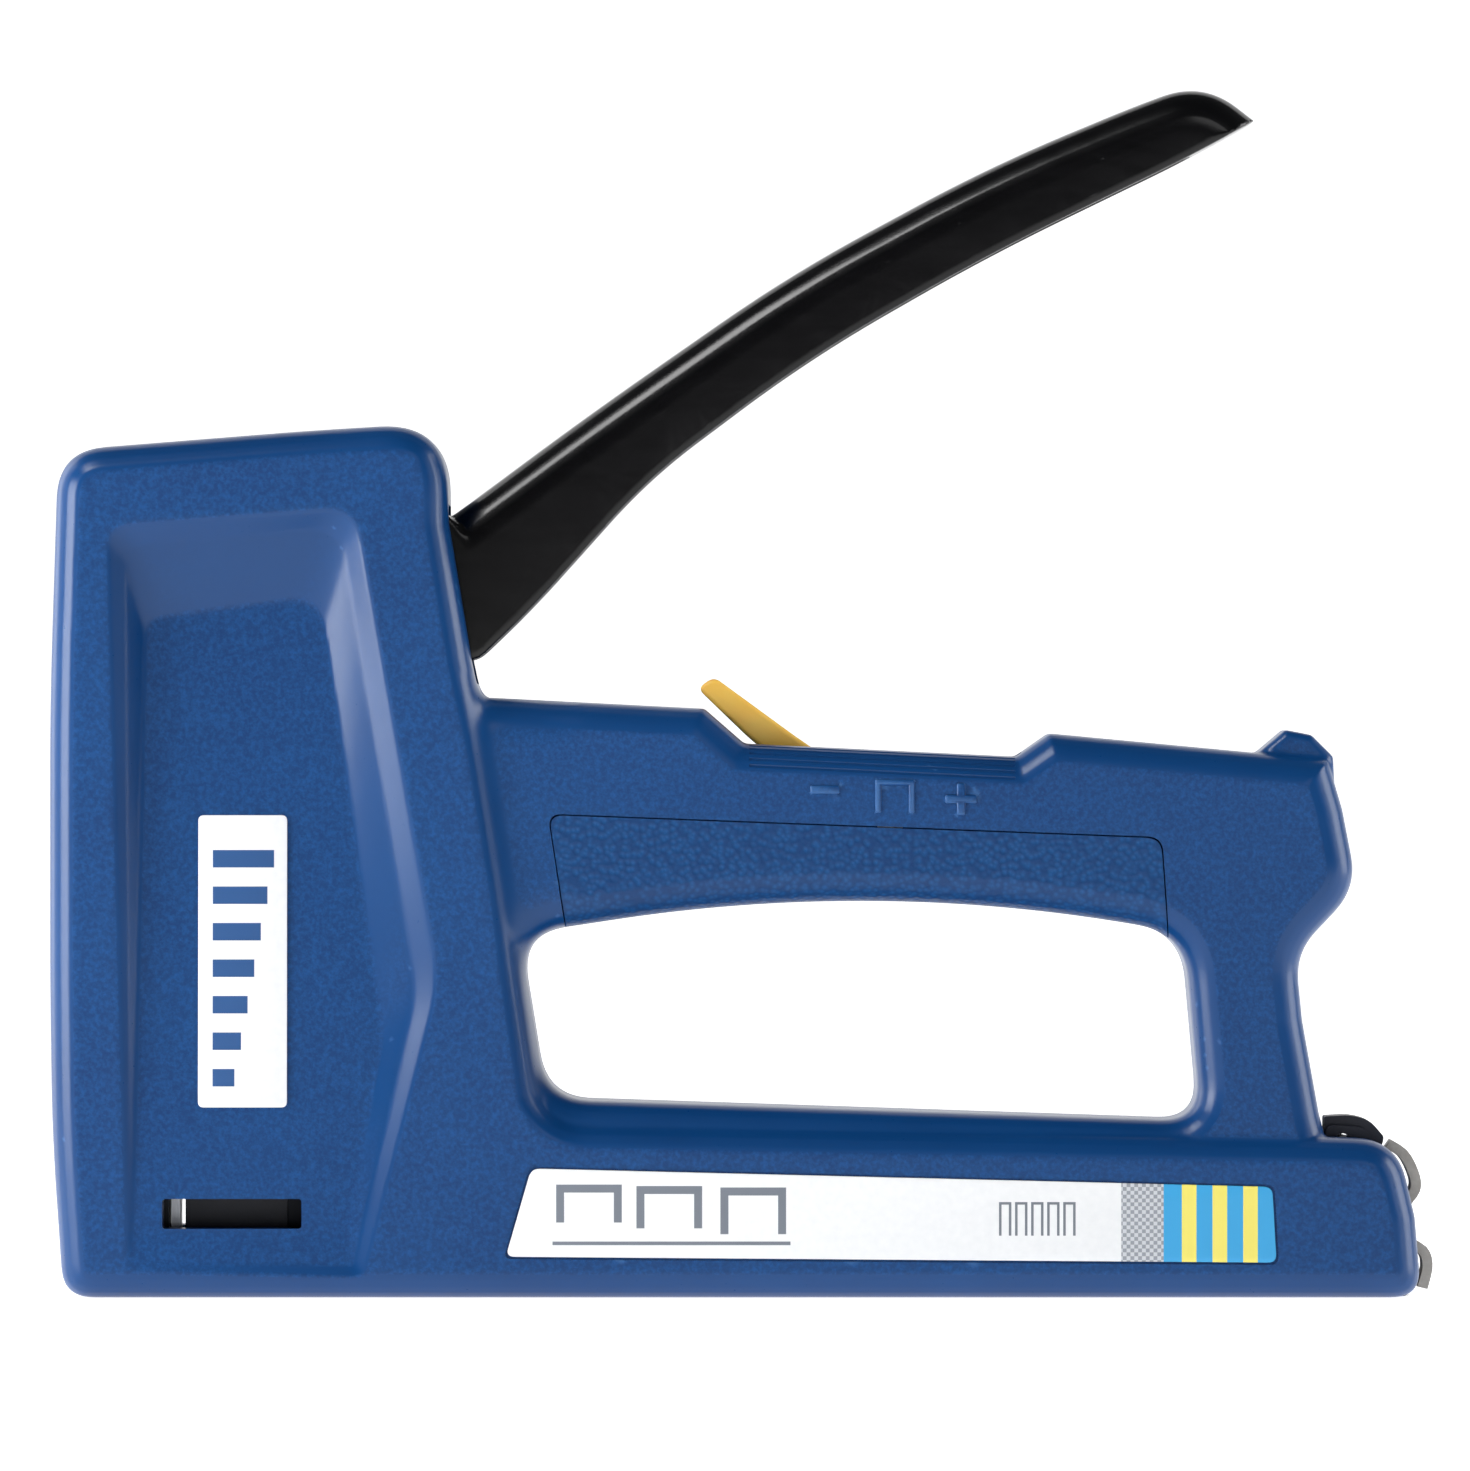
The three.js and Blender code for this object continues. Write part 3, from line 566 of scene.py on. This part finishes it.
# FORCE MARKS: a minus, a staple and a plus stand a little proud of the left shell beside the
# adjuster. They are moulded in one with it, so they have its plastic.
def mark(name, x0, x1, z0, z1, proud=0.45):
    """One rounded stroke of a mark, proud of the grip's flat side"""
    piece = block(name, x0, x1, -GRIP_HALF - proud, -GRIP_HALF + 0.4, z0, z1)
    modify(piece, "BEVEL", width=0.3 * MM, segments=3, limit_method="NONE")
    return piece


marks = [
    mark("minus", 9.3, 13.4, 69.1, 70.3),
    mark("plus_bar", 27.8, 32.2, 67.8, 69),
    mark("plus_post", 29.4, 30.6, 66.2, 70.6, 0.44),
    mark("staple_crown", 18.2, 23.7, 70.2, 71.1),
    mark("staple_leg_1", 18.2, 19.1, 66.5, 71.1, 0.44),
    mark("staple_leg_2", 22.8, 23.7, 66.5, 71.1, 0.44),
]
combine(shells["left"], "UNION", marks)
in_one_finish(shells["left"], blue)


# SQUEEZE LEVER: a glossy black moulded channel, round on top and open below, that swells
# into a rounded end. It turns in the head about a pin.
LEVER = (
    (-45.6, 108.9), (-40.6, 106.8), (-20.9, 121.4, 10), (6.5, 140.5, 12), (34, 155.4, 12),
    (53.2, 163.4, 4), (63.4, 167.2, 6), (72, 160.5), (66, 148), (34, 131), (9.3, 117),
    (-12.7, 100), (-29.2, 84), (-45.6, 82),
)
LEVER_UNDERSIDE = (
    (-52, 93.4), (-45.6, 93), (-37.4, 86.4, 3), (-29.2, 94.2, 6), (-12.7, 112.6, 8), (9.3, 129.1, 12),
    (34, 143.3, 12), (61.4, 156.6, 6), (70.4, 161.6), (90, 170), (90, 70), (-52, 70),
)
LEVER_CHANNEL = (
    (-60, 80), (-60, 116), (-41, 116), (-41, 104.2), (-38, 104.9), (-20.5, 118, 8), (6.8, 137, 8),
    (34.2, 151.9, 8), (52, 159.6), (60, 161.4, 2), (64, 150), (62, 136), (0, 96), (-30, 80),
)
LEVER_HALF = 9
PIVOT = (-45.6, 101)
lever = prism("squeeze_lever", LEVER, -LEVER_HALF, LEVER_HALF, 5, steps=5)
combine(lever, "UNION", [bar("lever_boss", *PIVOT, 8.2, -LEVER_HALF, LEVER_HALF, 48)], "EXACT")
combine(lever, "DIFFERENCE", [
    prism("lever_underside", LEVER_UNDERSIDE, -12, 12),
    prism("lever_channel", LEVER_CHANNEL, -6.8, 6.8, 2),
    bar("lever_bore", *PIVOT, 3.3, -12, 12),
], "EXACT")
modify(lever, "REMESH", mode="VOXEL", voxel_size=0.35 * MM)
modify(lever, "SMOOTH", factor=0.5, iterations=6)
modify(lever, "DECIMATE", ratio=0.35)
alone(lever)
bpy.ops.object.shade_smooth()
gloss, place, facing, shader = finish("lever_black", {
    "IOR": 1.5, "Specular IOR Level": 0.3, "Coat Roughness": 0.1})
flow = place.noise(160, 3, 0.5, (1, 1, 4))
speck = place.noise(2400, 2)
feed(shader, Base_Color=flow.blend(rgb(2, 2, 3), rgb(6, 6, 8)),
     Roughness=0.16 + flow * 0.08 + speck * 0.04, Coat_Weight=0.05 + flow * 0.1,
     Normal=(flow * 0.6 + speck * 0.4).bump(0.12, 0.05))
lever.data.materials.append(gloss)
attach(lever, "lever")
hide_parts("handle_lever")


# FORCE ADJUSTER: an orange-yellow tab on a hub inside the grip. Its cam pushes the spring's
# seat, and the thumb turns it by the rounded end that stands out of the sill.
TAB = (
    (19.4, 66), (20.6, 68.6, 1), (8.7, 76, 3), (-3.9, 85.2, 1.1), (-6.2, 83.6, 1.2),
    (2.1, 75.6, 3), (14, 67.8), (16.6, 66.2),
)
TAB_HALF = 4
HUB = (20.3, 65)
tab = prism("adjuster_tab", TAB, -TAB_HALF, TAB_HALF, 0.7, steps=4)
combine(tab, "UNION", [bar("adjuster_hub", *HUB, 4.6, -TAB_HALF, TAB_HALF, 40)], "EXACT")
combine(tab, "DIFFERENCE", [bar("adjuster_bore", *HUB, 2.1, -6, 6)], "EXACT")
alone(tab)
bpy.ops.object.shade_smooth_by_angle(angle=math.radians(35))
amber, place, facing, shader = finish("adjuster_yellow", {
    "IOR": 1.48, "Subsurface Weight": 0.08, "Subsurface Scale": 0.002})
flow = place.noise(220, 3)
speck = place.noise(2600, 2)
feed(shader, Base_Color=flow.blend(rgb(254, 192, 74), rgb(255, 214, 104)), Roughness=0.34 + speck * 0.14,
     Normal=speck.bump(0.15, 0.04))
tab.data.materials.append(amber)
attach(tab, "adjuster")
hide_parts("force_adjuster")


# SIDE LABEL: a printed film on the bar, with a plain row of staple shapes, a fine grey check
# and a blue and yellow field. It carries no words.
def within(value, low, high):
    """1 where value is between low and high"""
    return (value > low) * (value < high)


def staple_print(x, z, centre, crown, leg, stroke):
    """1 on the print of a staple with its legs down: centre is the middle of its crown's top"""
    across, down = (x - centre[0]).size(), centre[1] - z
    whole = (across < crown / 2) * within(down, 0, leg)
    inside = (across < crown / 2 - stroke) * within(down, stroke, leg + 1)
    return whole * (1 - inside)


film = prism("side_film", LABEL, -HEAD_HALF, -HEAD_HALF + 0.36, 0.12, steps=2)
alone(film)
bpy.ops.object.shade_smooth_by_angle(angle=math.radians(40))
printed, place, facing, shader = finish("printed_film", {"IOR": 1.48})
x, z = place.axis(0) * 1000, place.axis(2) * 1000
fibre = place.noise(900, 3)
white = fibre.blend(rgb(232, 234, 236), rgb(244, 245, 246))
ink = staple_print(x, z, (-21, 15.6), 9, 5.2, 1.1)
for centre, crown, leg in (((-10, 15.4), 9, 5.8), ((1.5, 15.2), 9, 6.4)):
    ink = ink + staple_print(x, z, centre, crown, leg, 1.1)
for i in range(5):
    ink = ink + staple_print(x, z, (36 + 2.2 * i, 13.2), 1.7, 4.6, 0.35)
ink = ink + within(x, -26, 6.6) * within(z, 7.3, 7.8)
colour = ink.clip().blend(white, rgb(118, 124, 134))
check = place.node("ShaderNodeTexChecker", {}, {
    "Vector": place, "Scale": 1900.0, "Color1": rgb(150, 155, 163), "Color2": rgb(206, 209, 214)})
colour = (x > 51.9).blend(colour, check)
yellow_bars = within(x, 60.2, 62.2) + within(x, 64.4, 66.4) + within(x, 68.6, 70.6)
field = yellow_bars.clip().blend(rgb(59, 165, 222), rgb(246, 232, 112))
colour = (x > 57.7).blend(colour, field)
feed(shader, Base_Color=colour, Roughness=0.38 + fibre * 0.1, Normal=fibre.bump(0.08, 0.03))
film.data.materials.append(printed)
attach(film, "housing")
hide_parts("side_label")


# HEAD LABEL: a plain white plate on the floor of the sunken panel, printed with a scale of
# seven blue bars that grow upwards.
PLATE = ((-74.6, 66.2, 0.8), (-62.4, 66.2, 0.8), (-62.4, 26.1, 0.8), (-74.6, 26.1, 0.8))
PLATE_X, PLATE_Z = -68.5, 46.1
plate = prism("head_plate", PLATE, -0.16, 0.16, 0.1, steps=2)
deep, along_z, along_x = FLOOR_DEPTH
level = deep + along_z * (PLATE_Z - PANEL_LOW) + along_x * (PLATE_X - PANEL_LEFT) - HEAD_HALF - 0.1
alone(plate)
bpy.ops.object.mode_set(mode="EDIT")
bpy.ops.mesh.select_all(action="SELECT")
bpy.ops.transform.rotate(value=math.atan(along_z), orient_axis="X",
                         center_override=(0, 0, PLATE_Z * MM))
bpy.ops.transform.translate(value=(0, level * MM, 0))
bpy.ops.object.mode_set(mode="OBJECT")
bpy.ops.object.shade_smooth_by_angle(angle=math.radians(40))
badge, place, facing, shader = finish("printed_plate", {"IOR": 1.48})
x, z = place.axis(0) * 1000, place.axis(2) * 1000
fibre = place.noise(900, 3)
white = fibre.blend(rgb(233, 235, 239), rgb(245, 246, 249))
ink = within(z, 29, 31.4) * within(x, -72.6, -69.6)
for i in range(1, 7):
    ink = ink + within(z, 29 + 5 * i, 31.4 + 5 * i) * within(x, -72.6, -69.6 + 0.9 * i)
feed(shader, Base_Color=ink.clip().blend(white, rgb(42, 84, 138)), Roughness=0.36 + fibre * 0.1,
     Normal=fibre.bump(0.08, 0.03))
plate.data.materials.append(badge)
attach(plate, "housing")
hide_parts("head_label")


# MAGAZINE END: a satin near-black moulded cap and latch, and a grey plated clip bent from
# strip, by which the magazine is pulled out.
satin, place, facing, shader = finish("cap_black", {"IOR": 1.5})
speck = place.noise(2200, 3)
cloud = place.noise(120, 3)
feed(shader, Base_Color=cloud.blend(rgb(10, 16, 34), rgb(20, 26, 44)), Roughness=0.38 + speck * 0.15,
     Normal=speck.bump(0.25, 0.05))
for name in ("magazine_end_cap", "magazine_latch", "staple_pusher"):
    nodes[name].material_slots[0].material = satin

plated, place, facing, shader = finish("clip_steel", {"Metallic": 1.0})
brushed = place.noise(900, 3, 0.6, (1, 12, 1))
smudge = place.noise(140, 4)
feed(shader, Base_Color=(brushed * 0.6 + smudge * 0.4).blend(rgb(140, 136, 130), rgb(196, 193, 188)),
     Roughness=0.32 + smudge * 0.2, Normal=brushed.bump(0.15, 0.04))
nodes["pull_clip"].material_slots[0].material = plated


# MECHANISM: zinc-plated steel stampings, pins and screws, oiled spring wire and a rubber
# stop, seen through the openings and when the magazine is drawn out.
zinc, place, facing, shader = finish("mechanism_steel", {"Metallic": 1.0})
brushed = place.noise(700, 3, 0.6, (8, 1, 1))
spangle = place.cells(420)
scuffs = place.noise(90, 5, 0.7)
wear_and_sheen = brushed * 0.5 + spangle * 0.3 + scuffs * 0.2
feed(shader, Base_Color=wear_and_sheen.blend(rgb(150, 153, 158), rgb(208, 211, 216)),
     Roughness=0.26 + scuffs * 0.22, Normal=(brushed * 0.5 + spangle * 0.3).bump(0.12, 0.04))
wire, place, facing, shader = finish("spring_steel", {"Metallic": 1.0})
drawn = place.noise(1600, 3, 0.6)
oil = place.noise(200, 3)
feed(shader, Base_Color=oil.blend(rgb(112, 114, 120), rgb(168, 171, 178)), Roughness=0.24 + oil * 0.16,
     Normal=drawn.bump(0.15, 0.03))
rubber, place, facing, shader = finish("bumper_rubber", {"IOR": 1.45})
chalk = place.noise(300, 4)
pores = place.noise(2600, 2)
feed(shader, Base_Color=chalk.blend(rgb(18, 18, 20), rgb(34, 34, 36)), Roughness=0.75 + chalk * 0.15,
     Normal=pores.bump(0.3, 0.06))
for name in ("main_spring", "pusher_spring", "lever_return_spring", "latch_spring"):
    nodes[name].material_slots[0].material = wire
blackened, place, facing, shader = finish("channel_black", {"Metallic": 1.0})
brushed = place.noise(800, 3, 0.6, (1, 8, 1))
oil = place.noise(160, 3)
feed(shader, Base_Color=oil.blend(rgb(20, 21, 24), rgb(46, 48, 52)), Roughness=0.3 + oil * 0.2,
     Normal=brushed.bump(0.12, 0.04))
for name in ("magazine_channel", "magazine_rail", "nose_plate"):
    nodes[name].material_slots[0].material = blackened
for name in ("lever_arm", "lever_rivet", "lever_pivot_pin", "striker_blade", "striker_carrier",
             "rocker", "rocker_pin", "push_rod", "spring_seat", "adjuster_pin", "end_cap_pin",
             "latch_pin"):
    nodes[name].material_slots[0].material = zinc
nodes["striker_bumper"].material_slots[0].material = rubber
for i in range(7):
    nodes[f"housing_screw_{i + 1}"].material_slots[0].material = zinc

bpy.ops.object.select_all(action="DESELECT")
